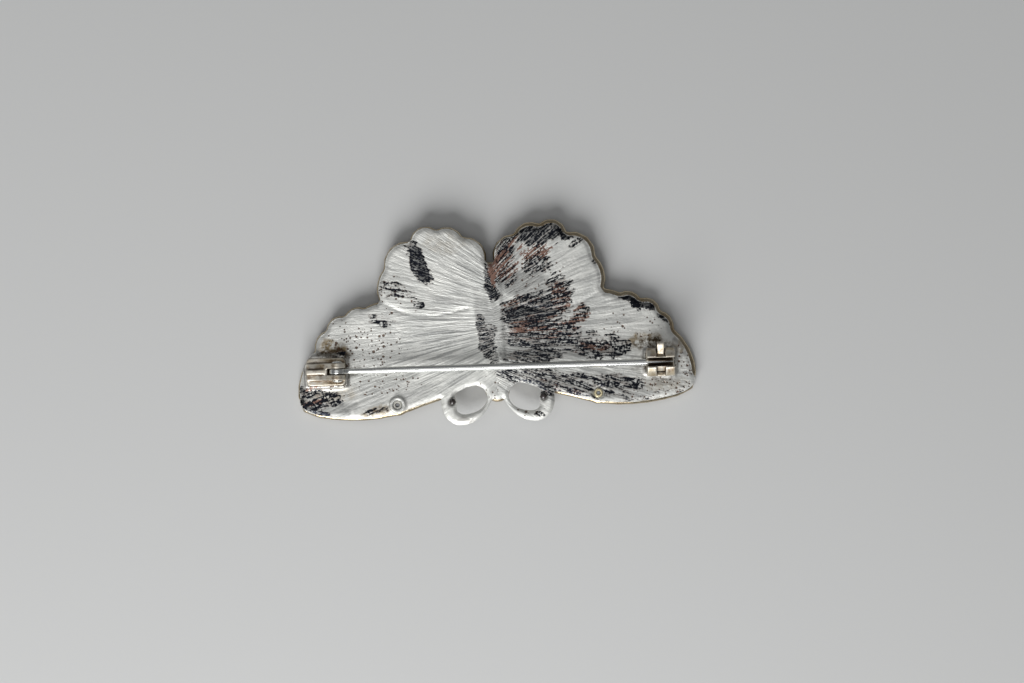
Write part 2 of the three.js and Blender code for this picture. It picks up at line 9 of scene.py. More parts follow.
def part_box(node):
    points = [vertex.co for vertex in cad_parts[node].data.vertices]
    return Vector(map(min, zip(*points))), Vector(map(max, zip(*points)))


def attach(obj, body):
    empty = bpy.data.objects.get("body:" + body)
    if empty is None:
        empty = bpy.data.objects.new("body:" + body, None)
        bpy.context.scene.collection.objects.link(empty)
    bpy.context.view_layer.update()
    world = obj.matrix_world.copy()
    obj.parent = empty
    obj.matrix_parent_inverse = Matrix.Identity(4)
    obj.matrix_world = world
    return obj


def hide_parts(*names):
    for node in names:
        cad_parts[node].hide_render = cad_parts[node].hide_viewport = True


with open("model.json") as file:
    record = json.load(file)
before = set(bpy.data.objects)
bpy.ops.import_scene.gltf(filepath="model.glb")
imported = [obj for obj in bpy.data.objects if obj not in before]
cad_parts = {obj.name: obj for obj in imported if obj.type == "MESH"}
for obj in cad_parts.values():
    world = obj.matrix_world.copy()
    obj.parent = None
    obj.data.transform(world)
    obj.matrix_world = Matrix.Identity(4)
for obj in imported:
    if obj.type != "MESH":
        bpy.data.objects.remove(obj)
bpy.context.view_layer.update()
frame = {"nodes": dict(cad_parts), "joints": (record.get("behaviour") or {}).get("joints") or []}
scene = bpy.context.scene

mm = 0.001  # pieces are shaped in millimetres and scaled to metres when they are finished
jointOf = {joint["name"]: joint for joint in frame["joints"]}


# Mesh work

def toObject(bm, name):
    mesh = bpy.data.meshes.new(name)
    bm.to_mesh(mesh)
    bm.free()
    obj = bpy.data.objects.new(name, mesh)
    scene.collection.objects.link(obj)
    return obj


def toBmesh(obj):
    # The object's mesh with its modifiers applied; the object goes.
    graph = bpy.context.evaluated_depsgraph_get()
    bm = bmesh.new()
    bm.from_object(obj, graph)
    bpy.data.meshes.remove(obj.data)
    return bm


def combine(bm, tool, operation):
    base = toObject(bm, "base")
    other = toObject(tool, "tool")
    step = base.modifiers.new("combine", "BOOLEAN")
    step.operation = operation
    step.solver = "EXACT"
    step.object = other
    result = toBmesh(base)
    bpy.data.meshes.remove(other.data)
    return result


def soften(bm, rounds):
    for _ in range(rounds):
        bmesh.ops.smooth_vert(
            bm, verts=bm.verts, factor=0.5, use_axis_x=True, use_axis_y=True, use_axis_z=True
        )


def castCopy(node, voxel, rounds):
    # A CAD node as a cast surface: even small faces and edges rounded as metal leaves the mould.
    bm = bmesh.new()
    bm.from_mesh(frame["nodes"][node].data)
    bmesh.ops.scale(bm, vec=(1 / mm, 1 / mm, 1 / mm), verts=bm.verts)
    bmesh.ops.remove_doubles(bm, verts=bm.verts, dist=0.0005)
    copy = toObject(bm, "copy")
    skin = copy.modifiers.new("skin", "REMESH")
    skin.mode = "VOXEL"
    skin.voxel_size = voxel
    skin.adaptivity = 0
    bm = toBmesh(copy)
    soften(bm, rounds)
    return bm


def spun(profile, steps, axis=(0, 0, 1)):
    # A closed turned shape. The profile runs from pole to pole, or round a ring's section.
    bm = bmesh.new()
    corners = [bm.verts.new(point) for point in profile]
    edges = [bm.edges.new(pair) for pair in zip(corners, corners[1:])]
    bmesh.ops.spin(
        bm, geom=corners + edges, cent=(0, 0, 0), axis=axis, angle=math.tau, steps=steps, use_merge=True
    )
    bmesh.ops.remove_doubles(bm, verts=bm.verts, dist=0.0005)
    bmesh.ops.recalc_face_normals(bm, faces=bm.faces)
    return bm


def turnedRing(inner, outer, low, high, steps, axis="z"):
    # A ring with a rectangular section, to be bevelled.
    section = [(inner, low), (outer, low), (outer, high), (inner, high), (inner, low)]
    if axis == "y":
        return spun([(r, h, 0) for r, h in section], steps, (0, 1, 0))
    return spun([(r, 0, h) for r, h in section], steps)


def bevelSharp(bm, width, segments, sharpness=40):
    limit = math.radians(sharpness)
    edges = [e for e in bm.edges if len(e.link_faces) == 2 and e.calc_face_angle() > limit]
    bmesh.ops.bevel(
        bm, geom=edges, offset=width, offset_type="OFFSET", affect="EDGES", segments=segments,
        profile=0.5, material=-1, clamp_overlap=True,
    )


def markEdges(bm, spread=3):
    # Writes how far each point stands out of, or lies in, the surface round it.
    layer = bm.verts.layers.float.get("edge") or bm.verts.layers.float.new("edge")
    bm.normal_update()
    raw = {}
    for vert in bm.verts:
        around = Vector((0, 0, 0))
        for edge in vert.link_edges:
            around += edge.other_vert(vert).co
        count = max(1, len(vert.link_edges))
        reach = sum(e.calc_length() for e in vert.link_edges) / count
        raw[vert] = (vert.co - around / count).dot(vert.normal) / max(reach, 1e-6)
    for _ in range(spread):
        even = {}
        for vert in bm.verts:
            total = raw[vert]
            for edge in vert.link_edges:
                total += raw[edge.other_vert(vert)]
            even[vert] = total / (1 + len(vert.link_edges))
        raw = even
    for vert, value in raw.items():
        vert[layer] = max(-1, min(1, value * 6))


def wholeTree():
    # Every CAD node in one tree, to find out what stands close over a point.
    bm = bmesh.new()
    for node in frame["nodes"].values():
        bm.from_mesh(node.data)
    bmesh.ops.scale(bm, vec=(1 / mm, 1 / mm, 1 / mm), verts=bm.verts)
    tree = bvhtree.BVHTree.FromBMesh(bm)
    bm.free()
    return tree


allAround = wholeTree()
skyRays = [Vector((math.cos(turn) * out, math.sin(turn) * out, math.sqrt(1 - out * out)))
           for out in (0.35, 0.8) for turn in (0.3, 1.35, 2.4, 3.4, 4.45, 5.5)]


def shelterAt(point, normal, reach, lift):
    # How much of the space over a point is closed in, from 0 to 1.
    turn = normal.to_track_quat("Z", "Y")
    start = point + normal * lift
    closed = sum(1 for ray in skyRays if allAround.ray_cast(start, turn @ ray, reach)[0])
    return closed / len(skyRays)


def markShelter(bm, reach=2.2, lift=0.12):
    # Painted shade, with some dirt, goes where a piece is closed in.
    layer = bm.verts.layers.float.new("shelter")
    for vert in bm.verts:
        vert[layer] = shelterAt(vert.co, vert.normal, reach, lift)


def finishPiece(bm, name, body, nodes, material, smooth=True):
    bmesh.ops.scale(bm, vec=(mm, mm, mm), verts=bm.verts)
    for face in bm.faces:
        face.smooth = smooth
    piece = toObject(bm, name)
    piece.data.materials.append(material)
    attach(piece, body)
    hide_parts(*nodes)
    print(f"{name}: {len(piece.data.polygons)} faces")
    return piece


def ease(value, low, high):
    share = max(0, min(1, (value - low) / (high - low)))
    return share * share * (3 - 2 * share)


# Places, in millimetres

def middleOf(node):
    low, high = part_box(node)
    return (low + high) / 2 / mm


def findingsFrame():
    # x runs along the pin from its hinge, y across it and z up.
    swing = jointOf["pin_swing"]
    across = -Vector(swing["axis"])
    along = across.cross(Vector((0, 0, 1)))
    turn = Matrix((along, across, Vector((0, 0, 1)))).transposed().to_4x4()
    return Matrix.Translation(Vector(swing["pos_m"]) / mm) @ turn


onPin = findingsFrame()
pinTurn = math.atan2(onPin[1][0], onPin[0][0])
pinSpan = (onPin.inverted() @ (Vector(jointOf["roller_turn"]["pos_m"]) / mm)).x


def footOf(node, height=0.3):
    # The rectangle that a finding stands on, in the findings' frame.
    back = onPin.inverted()
    points = [back @ (v.co / mm) for v in frame["nodes"][node].data.vertices]
    lowest = min(p.z for p in points)
    low = [p for p in points if p.z < lowest + height]
    xs = [p.x for p in low]
    ys = [p.y for p in low]
    return min(xs), max(xs), min(ys), max(ys)


# Material helpers

def connect(tree, value, socket):
    if isinstance(value, bpy.types.NodeSocket):
        tree.links.new(value, socket)
    else:
        socket.default_value = value


def mathStep(tree, operation, first, second=0.0, clamp=False):
    node = tree.nodes.new("ShaderNodeMath")
    node.operation = operation
    node.use_clamp = clamp
    connect(tree, first, node.inputs[0])
    connect(tree, second, node.inputs[1])
    return node.outputs[0]


def remap(tree, value, low, high, newLow=0.0, newHigh=1.0):
    node = tree.nodes.new("ShaderNodeMapRange")
    node.interpolation_type = "SMOOTHSTEP"
    connect(tree, value, node.inputs["Value"])
    connect(tree, low, node.inputs["From Min"])
    connect(tree, high, node.inputs["From Max"])
    connect(tree, newLow, node.inputs["To Min"])
    connect(tree, newHigh, node.inputs["To Max"])
    return node.outputs["Result"]


def mixColour(tree, factor, first, second, blend="MIX"):
    node = tree.nodes.new("ShaderNodeMix")
    node.data_type = "RGBA"
    node.blend_type = blend
    connect(tree, factor, node.inputs[0])
    connect(tree, first, node.inputs[6])
    connect(tree, second, node.inputs[7])
    return node.outputs[2]


def mixValue(tree, factor, first, second):
    node = tree.nodes.new("ShaderNodeMix")
    connect(tree, factor, node.inputs[0])
    connect(tree, first, node.inputs[2])
    connect(tree, second, node.inputs[3])
    return node.outputs[0]


def noiseField(tree, vector, scale, detail=3.0, rough=0.55, distortion=0.0):
    node = tree.nodes.new("ShaderNodeTexNoise")
    connect(tree, vector, node.inputs["Vector"])
    connect(tree, scale, node.inputs["Scale"])
    node.inputs["Detail"].default_value = detail
    node.inputs["Roughness"].default_value = rough
    node.inputs["Distortion"].default_value = distortion
    return node.outputs["Fac"]


def painted(tree, name):
    node = tree.nodes.new("ShaderNodeAttribute")
    node.attribute_name = name
    return node.outputs["Fac"]


def newGroup(name, inputs, outputs):
    group = bpy.data.node_groups.new(name, "ShaderNodeTree")
    kinds = {"value": "NodeSocketFloat", "vector": "NodeSocketVector", "colour": "NodeSocketColor"}
    for label, kind, start in inputs:
        socket = group.interface.new_socket(name=label, in_out="INPUT", socket_type=kinds[kind])
        if start is not None:
            socket.default_value = start
    for label, kind in outputs:
        group.interface.new_socket(name=label, in_out="OUTPUT", socket_type=kinds[kind])
    entry = group.nodes.new("NodeGroupInput")
    leave = group.nodes.new("NodeGroupOutput")
    return group, entry.outputs, leave.inputs


def useGroup(tree, group, **values):
    node = tree.nodes.new("ShaderNodeGroup")
    node.node_tree = group
    for label, value in values.items():
        connect(tree, value, node.inputs[label])
    return node.outputs


def fanGroup():
    # Lines that fan out over each wing from a centre beyond the body; X is across them, Y along.
    group, given, result = newGroup(
        "fan lines",
        [("Vector", "vector", None), ("Reach", "value", 10.9), ("Left", "value", 0.0), ("Right", "value", 0.0)],
        [("Lines", "vector"), ("Side", "value")],
    )
    split = group.nodes.new("ShaderNodeSeparateXYZ")
    group.links.new(given["Vector"], split.inputs[0])
    x = mathStep(group, "MULTIPLY", split.outputs["X"], 1 / mm)
    y = mathStep(group, "MULTIPLY", split.outputs["Y"], 1 / mm)
    side = mathStep(group, "GREATER_THAN", x, 0.0)
    centre = mixValue(group, side, given["Left"], given["Right"])
    out = mathStep(group, "ADD", mathStep(group, "ABSOLUTE", x), given["Reach"])
    up = mathStep(group, "SUBTRACT", y, centre)
    angle = mathStep(group, "ARCTAN2", up, out)
    across = mathStep(group, "MULTIPLY", angle, 22.0)
    squares = mathStep(group, "ADD", mathStep(group, "MULTIPLY", out, out), mathStep(group, "MULTIPLY", up, up))
    along = mathStep(group, "SQRT", squares)
    joined = group.nodes.new("ShaderNodeCombineXYZ")
    group.links.new(across, joined.inputs["X"])
    group.links.new(along, joined.inputs["Y"])
    group.links.new(mathStep(group, "MULTIPLY", side, 40.0), joined.inputs["Z"])
    group.links.new(joined.outputs[0], result["Lines"])
    group.links.new(side, result["Side"])
    return group


def streakGroup():
    # Scratches of a given width and length on lines laid out by X and Y.
    group, given, result = newGroup(
        "streaks",
        [("Vector", "vector", None), ("Width", "value", 0.4), ("Length", "value", 3.0), ("Ragged", "value", 0.4)],
        [("Streak", "value")],
    )
    stretch = group.nodes.new("ShaderNodeCombineXYZ")
    group.links.new(mathStep(group, "DIVIDE", 0.6, given["Width"]), stretch.inputs["X"])
    group.links.new(mathStep(group, "DIVIDE", 0.6, given["Length"]), stretch.inputs["Y"])
    stretch.inputs["Z"].default_value = 1.0
    scaled = group.nodes.new("ShaderNodeVectorMath")
    scaled.operation = "MULTIPLY"
    group.links.new(given["Vector"], scaled.inputs[0])
    group.links.new(stretch.outputs[0], scaled.inputs[1])
    long = noiseField(group, scaled.outputs[0], 1.0, 3.0, 0.55)
    ragged = noiseField(group, given["Vector"], 2.6, 4.0, 0.7)
    both = mixValue(group, given["Ragged"], long, ragged)
    group.links.new(remap(group, both, 0.34, 0.64), result["Streak"])
    return group


def reflectionShadeGroup():
    # Where an amount of painted reflection and shade shows through streaks, and the brown fringe round it.
    group, given, result = newGroup(
        "reflectionAndShade",
        [("Amount", "value", 0.0), ("Streak", "value", 0.5), ("Fringe", "value", 0.12)],
        [("Mask", "value"), ("Fringe", "value")],
    )
    over = mathStep(group, "SUBTRACT", mathStep(group, "MULTIPLY", given["Amount"], 1.12), given["Streak"])
    mask = remap(group, over, 0.0, 0.12)
    wider = remap(group, mathStep(group, "ADD", over, given["Fringe"]), 0.0, 0.12)
    present = remap(group, given["Amount"], 0.12, 0.3)
    group.links.new(mathStep(group, "MULTIPLY", mask, present), result["Mask"])
    ring = mathStep(group, "SUBTRACT", wider, mask, clamp=True)
    group.links.new(mathStep(group, "MULTIPLY", ring, present), result["Fringe"])
    return group


def pitGroup():
    # Small round pits, each in its own cell, as many as the amount lets through.
    group, given, result = newGroup(
        "pits",
        [("Vector", "vector", None), ("Amount", "value", 0.0), ("Spacing", "value", 0.9), ("Size", "value", 0.2)],
        [("Mask", "value")],
    )
    cells = group.nodes.new("ShaderNodeTexVoronoi")
    group.links.new(given["Vector"], cells.inputs["Vector"])
    group.links.new(mathStep(group, "DIVIDE", 1 / mm, given["Spacing"]), cells.inputs["Scale"])
    split = group.nodes.new("ShaderNodeSeparateColor")
    group.links.new(cells.outputs["Color"], split.inputs[0])
    chosen = mathStep(group, "GREATER_THAN", given["Amount"], split.outputs[0])
    reach = mathStep(group, "MULTIPLY", given["Size"], mathStep(group, "ADD", split.outputs[1], 0.4))
    inner = mathStep(group, "MULTIPLY", reach, 0.6)
    dot = remap(group, cells.outputs["Distance"], reach, inner)
    group.links.new(mathStep(group, "MULTIPLY", dot, chosen), result["Mask"])
    return group


def wearGroup():
    # Rubbed edges, and dirty hollows with painted shade where a piece is closed in, from the edge and shelter
    # values painted on a piece, broken up by a grain.
    group, given, result = newGroup(
        "edge wear",
        [("Vector", "vector", None), ("Grain", "value", 1.5)],
        [("Rubbed", "value"), ("HollowDirtAndShade", "value"), ("Grain", "value")],
    )
    grain = noiseField(group, given["Vector"], mathStep(group, "DIVIDE", 1 / mm, given["Grain"]), 5.0, 0.65)
    edge = painted(group, "edge")
    lift = mathStep(group, "MULTIPLY", mathStep(group, "SUBTRACT", grain, 0.5), 0.5)
    high = mathStep(group, "ADD", edge, lift)
    group.links.new(remap(group, high, 0.1, 0.45), result["Rubbed"])
    deep = remap(group, mathStep(group, "SUBTRACT", lift, edge), 0.02, 0.4)
    # Closed-in points get painted shade.
    closed = remap(group, mathStep(group, "ADD", painted(group, "shelter"), lift), 0.12, 0.55)
    group.links.new(mathStep(group, "MAXIMUM", deep, closed), result["HollowDirtAndShade"])
    group.links.new(grain, result["Grain"])
    return group


fanLines = fanGroup()
streaks = streakGroup()
reflectionAndShade = reflectionShadeGroup()
pits = pitGroup()
edgeWear = wearGroup()


def newMaterial(name):
    material = bpy.data.materials.new(name)
    material.use_nodes = True
    tree = material.node_tree
    shader = tree.nodes["Principled BSDF"]
    place = tree.nodes.new("ShaderNodeTexCoord").outputs["Object"]
    return material, tree, shader, place


def addBump(tree, shader, height, distance, strength=1.0):
    bump = tree.nodes.new("ShaderNodeBump")
    bump.inputs["Strength"].default_value = strength
    bump.inputs["Distance"].default_value = distance * mm
    tree.links.new(height, bump.inputs["Height"])
    tree.links.new(bump.outputs[0], shader.inputs["Normal"])


# Fan centres of the brushed lines, used by the relief of the plate and by its finish.
fan = {"reach": 10.9, "left": 0.0, "right": -2.0}

silver = {
    "bright": (0.85, 0.85, 0.81, 1), "dull": (0.70, 0.705, 0.675, 1), "line": (0.20, 0.205, 0.205, 1),
    "black": (0.014, 0.016, 0.022, 1), "brown": (0.115, 0.058, 0.032, 1), "pinkReflection": (0.27, 0.16, 0.125, 1),
    "grimeAndShade": (0.30, 0.23, 0.13, 1), "sootAndShade": (0.05, 0.033, 0.016, 1), "solder": (0.62, 0.605, 0.565, 1),
    "greyShade": (0.20, 0.203, 0.198, 1), "bump": 0.065,
}


def silverCasting():
    material, tree, shader, place = newMaterial("silver casting")
    layout = useGroup(tree, fanLines, Vector=place, Reach=fan["reach"], Left=fan["left"], Right=fan["right"])
    lines = layout["Lines"]
    coarse = useGroup(tree, streaks, Vector=lines, Width=0.34, Length=3.6, Ragged=0.14)["Streak"]
    fine = useGroup(tree, streaks, Vector=lines, Width=0.17, Length=1.1, Ragged=0.26)["Streak"]
    long = useGroup(tree, streaks, Vector=lines, Width=0.3, Length=7.0, Ragged=0.12)["Streak"]
    mixed = remap(tree, mixValue(tree, 0.42, coarse, fine), 0.12, 0.88)

    # Painted dark reflections, with painted shade under the eyelets and north of the hinge, drawn as streaky black
    # tarnish.
    black = useGroup(tree, reflectionAndShade, Amount=painted(tree, "reflectionAndShade"), Streak=mixed, Fringe=0.16)
    shreds = useGroup(tree, streaks, Vector=lines, Width=0.24, Length=1.6, Ragged=0.5)["Streak"]
    redness = remap(tree, mixValue(tree, 0.5, long, shreds), 0.15, 0.85)
    # Painted pinkish reflections, drawn as copper showing through worn plating.
    pinkReflection = useGroup(tree, reflectionAndShade, Amount=painted(tree, "pinkReflection"), Streak=redness, Fringe=0.0)
    # Streaks of painted glint break up the painted dark reflections.
    glints = useGroup(tree, streaks, Vector=lines, Width=0.13, Length=0.9, Ragged=0.45)["Streak"]
    streaky = remap(tree, painted(tree, "reflectionAndShade"), 0.95, 0.8, 0.25, 1.0)
    glintStreaks = mathStep(tree, "MULTIPLY", remap(tree, glints, 0.58, 0.8), streaky)
    blackMask = mathStep(tree, "MULTIPLY", black["Mask"], mathStep(tree, "SUBTRACT", 1.0, glintStreaks))
    dots = useGroup(tree, pits, Vector=place, Amount=painted(tree, "pits"), Spacing=0.85, Size=0.25)["Mask"]
    specks = useGroup(tree, pits, Vector=place, Amount=painted(tree, "pits"), Spacing=0.5, Size=0.27)["Mask"]
    smooth = painted(tree, "solder")

    cloud = noiseField(tree, place, 0.22 / mm, 4.0, 0.6)
    base = mixColour(tree, remap(tree, cloud, 0.35, 0.65), silver["bright"], silver["dull"])
    scratch = mathStep(tree, "MULTIPLY", remap(tree, long, 0.62, 0.95), painted(tree, "lines"))
    base = mixColour(tree, mathStep(tree, "MULTIPLY", scratch, 0.6), base, silver["line"])
    # A smooth grey of painted shade over the given patches.
    shadeVeil = mathStep(tree, "MULTIPLY", painted(tree, "greyShade"), remap(tree, fine, 0.0, 1.0, 0.95, 0.55))
    base = mixColour(tree, shadeVeil, base, silver["greyShade"])
    # Brown grime, with painted shadows north of the hinge and catch.
    haze = remap(tree, noiseField(tree, place, 0.9 / mm, 5.0, 0.7), 0.35, 0.6)
    base = mixColour(tree, mathStep(tree, "MULTIPLY", haze, painted(tree, "grimeAndShade")), base, silver["grimeAndShade"])
    base = mixColour(tree, smooth, base, silver["solder"])
    # Points closed in by the findings darken as painted shade, together with soot patches.
    sheltered = mathStep(tree, "MULTIPLY", painted(tree, "shelter"), 1.6, clamp=True)
    sootShadeMask = mathStep(tree, "MULTIPLY", haze, mathStep(tree, "MAXIMUM", painted(tree, "sootAndShade"), sheltered))
    base = mixColour(tree, sootShadeMask, base, silver["sootAndShade"])
    base = mixColour(tree, pinkReflection["Mask"], base, silver["pinkReflection"])
    base = mixColour(tree, mathStep(tree, "MULTIPLY", black["Fringe"], 0.45), base, silver["brown"])
    spots = mathStep(tree, "MAXIMUM", dots, specks)
    base = mixColour(tree, mathStep(tree, "MULTIPLY", spots, 0.9), base, silver["brown"])
    base = mixColour(tree, blackMask, base, silver["black"])
    tree.links.new(base, shader.inputs["Base Color"])

    rough = mixValue(tree, fine, 0.48, 0.62)
    rough = mixValue(tree, smooth, rough, 0.36)
    rough = mixValue(tree, blackMask, rough, 0.3)
    tree.links.new(rough, shader.inputs["Roughness"])
    metal = mixValue(tree, smooth, 0.72, 1.0)
    tree.links.new(mixValue(tree, blackMask, metal, 0.95), shader.inputs["Metallic"])

    height = mathStep(tree, "ADD", mathStep(tree, "MULTIPLY", coarse, 0.5), mathStep(tree, "MULTIPLY", fine, 0.35))
    height = mathStep(tree, "ADD", height, mathStep(tree, "MULTIPLY", long, 0.25))
    height = mathStep(tree, "MULTIPLY", height, mathStep(tree, "SUBTRACT", 1.0, smooth))
    height = mathStep(tree, "SUBTRACT", height, spots)
    addBump(tree, shader, height, silver["bump"])
    return material


gold = {
    "bright": (0.36, 0.27, 0.155, 1), "worn": (0.56, 0.49, 0.36, 1), "dark": (0.08, 0.045, 0.02, 1),
    "bump": 0.04,
}


def goldFrame():
    material, tree, shader, place = newMaterial("antique gold")
    wear = useGroup(tree, edgeWear, Vector=place, Grain=1.6)
    cloud = remap(tree, noiseField(tree, place, 0.35 / mm, 5.0, 0.6), 0.35, 0.7)
    base = mixColour(tree, cloud, gold["bright"], gold["worn"])
    base = mixColour(tree, mathStep(tree, "MULTIPLY", wear["Rubbed"], 0.6), base, gold["worn"])
    # Hollows darken with patina and painted shade.
    base = mixColour(tree, mathStep(tree, "MULTIPLY", wear["HollowDirtAndShade"], 0.85), base, gold["dark"])
    tree.links.new(base, shader.inputs["Base Color"])
    shader.inputs["Metallic"].default_value = 1.0
    rough = mixValue(tree, wear["Grain"], 0.14, 0.3)
    tree.links.new(mixValue(tree, wear["HollowDirtAndShade"], rough, 0.55), shader.inputs["Roughness"])
    hammer = noiseField(tree, place, 2.2 / mm, 4.0, 0.6)
    addBump(tree, shader, hammer, gold["bump"], 0.6)
    return material


steel = {"bright": (0.80, 0.81, 0.79, 1), "grey": (0.58, 0.59, 0.58, 1), "turn": 0.0, "bump": 0.01}


def brightSteel():
    material, tree, shader, place = newMaterial("bright steel")
    along = tree.nodes.new("ShaderNodeMapping")
    along.inputs["Rotation"].default_value = (0, 0, -pinTurn)
    along.inputs["Scale"].default_value = (0.5 / mm, 9.0 / mm, 9.0 / mm)
    tree.links.new(place, along.inputs["Vector"])
    drawn = noiseField(tree, along.outputs[0], 1.0, 4.0, 0.6)
    smudge = noiseField(tree, place, 0.5 / mm, 3.0, 0.6)
    base = mixColour(tree, remap(tree, drawn, 0.4, 0.7, 0.0, 0.5), steel["bright"], steel["grey"])
    tree.links.new(base, shader.inputs["Base Color"])
    shader.inputs["Metallic"].default_value = 1.0
    tree.links.new(mixValue(tree, smudge, 0.14, 0.32), shader.inputs["Roughness"])
    addBump(tree, shader, drawn, steel["bump"], 0.5)
    return material


nickel = {
    "bright": (0.68, 0.645, 0.57, 1), "warm": (0.50, 0.42, 0.29, 1), "grimeAndShade": (0.09, 0.052, 0.024, 1),
    "stain": (0.17, 0.10, 0.05, 1), "bump": 0.03,
}


def warmNickel():
    material, tree, shader, place = newMaterial("warm nickel")
    wear = useGroup(tree, edgeWear, Vector=place, Grain=0.9)
    cloud = remap(tree, noiseField(tree, place, 0.55 / mm, 4.0, 0.6), 0.38, 0.66)
    base = mixColour(tree, cloud, nickel["bright"], nickel["warm"])
    stain = remap(tree, noiseField(tree, place, 0.8 / mm, 4.0, 0.6), 0.48, 0.66)
    base = mixColour(tree, mathStep(tree, "MULTIPLY", stain, 0.75), base, nickel["stain"])
    # Hollows darken with grime and painted shade.
    base = mixColour(tree, mathStep(tree, "MULTIPLY", wear["HollowDirtAndShade"], 0.9), base, nickel["grimeAndShade"])
    base = mixColour(tree, mathStep(tree, "MULTIPLY", wear["Rubbed"], 0.5), base, nickel["bright"])
    tree.links.new(base, shader.inputs["Base Color"])
    shader.inputs["Metallic"].default_value = 0.8
    rough = mixValue(tree, wear["Grain"], 0.36, 0.54)
    tree.links.new(mixValue(tree, wear["HollowDirtAndShade"], rough, 0.5), shader.inputs["Roughness"])
    addBump(tree, shader, noiseField(tree, place, 2.8 / mm, 4.0, 0.6), nickel["bump"], 0.5)
    return material


brass = {"pale": (0.80, 0.70, 0.44, 1), "dull": (0.58, 0.50, 0.30, 1), "dark": (0.05, 0.035, 0.02, 1), "bare": (0.60, 0.60, 0.57, 1)}


def paleBrass():
    material, tree, shader, place = newMaterial("pale brass")
    wear = useGroup(tree, edgeWear, Vector=place, Grain=0.5)
    speckle = remap(tree, noiseField(tree, place, 3.0 / mm, 4.0, 0.7), 0.4, 0.65)
    base = mixColour(tree, speckle, brass["pale"], brass["dull"])
    base = mixColour(tree, painted(tree, "bare"), base, brass["bare"])
    # Hollows darken, the eyelet hole's wall as painted shade.
    base = mixColour(tree, wear["HollowDirtAndShade"], base, brass["dark"])
    tree.links.new(base, shader.inputs["Base Color"])
    shader.inputs["Metallic"].default_value = 1.0
    tree.links.new(mixValue(tree, speckle, 0.28, 0.5), shader.inputs["Roughness"])
    addBump(tree, shader, speckle, 0.02, 0.5)
    return material


def clearStone():
    material, tree, shader, place = newMaterial("clear stone")
    smear = noiseField(tree, place, 1.4 / mm, 3.0, 0.6)
    tint = mixColour(tree, smear, (0.96, 0.98, 1.0, 1), (0.90, 0.94, 0.98, 1))
    tree.links.new(tint, shader.inputs["Base Color"])
    tree.links.new(remap(tree, smear, 0.45, 0.75, 0.0, 0.06), shader.inputs["Roughness"])
    shader.inputs["Transmission Weight"].default_value = 1.0
    shader.inputs["IOR"].default_value = 1.62
    return material


def blackStone():
    material, tree, shader, place = newMaterial("black stone")
    smear = noiseField(tree, place, 2.4 / mm, 4.0, 0.6)
    tint = mixColour(tree, smear, (0.008, 0.008, 0.010, 1), (0.05, 0.035, 0.03, 1))
    tree.links.new(tint, shader.inputs["Base Color"])
    tree.links.new(remap(tree, smear, 0.4, 0.7, 0.05, 0.22), shader.inputs["Roughness"])
    shader.inputs["Coat Weight"].default_value = 0.6
    addBump(tree, shader, smear, 0.02, 0.3)
    return material


silverFinish = silverCasting()
goldFinish = goldFrame()
steelFinish = brightSteel()
nickelFinish = warmNickel()
brassFinish = paleBrass()
clearFinish = clearStone()
blackFinish = blackStone()
print("materials made")


# Back plate

plate = {
    "voxel": 0.19, "rounds": 3,
    "edgeWidth": 0.75, "edgeDrop": 0.24,         # cast edge rolls over by this much
    "lineWidth": 0.55, "lineLength": 4.5, "lineHeight": 0.02,
    "swellSize": 6.0, "swell": 0.1,
    "overhangLeft": 0.45, "overhangRight": 0.06,  # stands this much further out over the rim
    "spine": 1.7, "spineHeight": 0.16,           # raised strip down the body
    "solderRise": 0.34, "solderReach": 0.45,
    "wallShare": 0.3,                            # how much of a patch runs on down the side walls
}

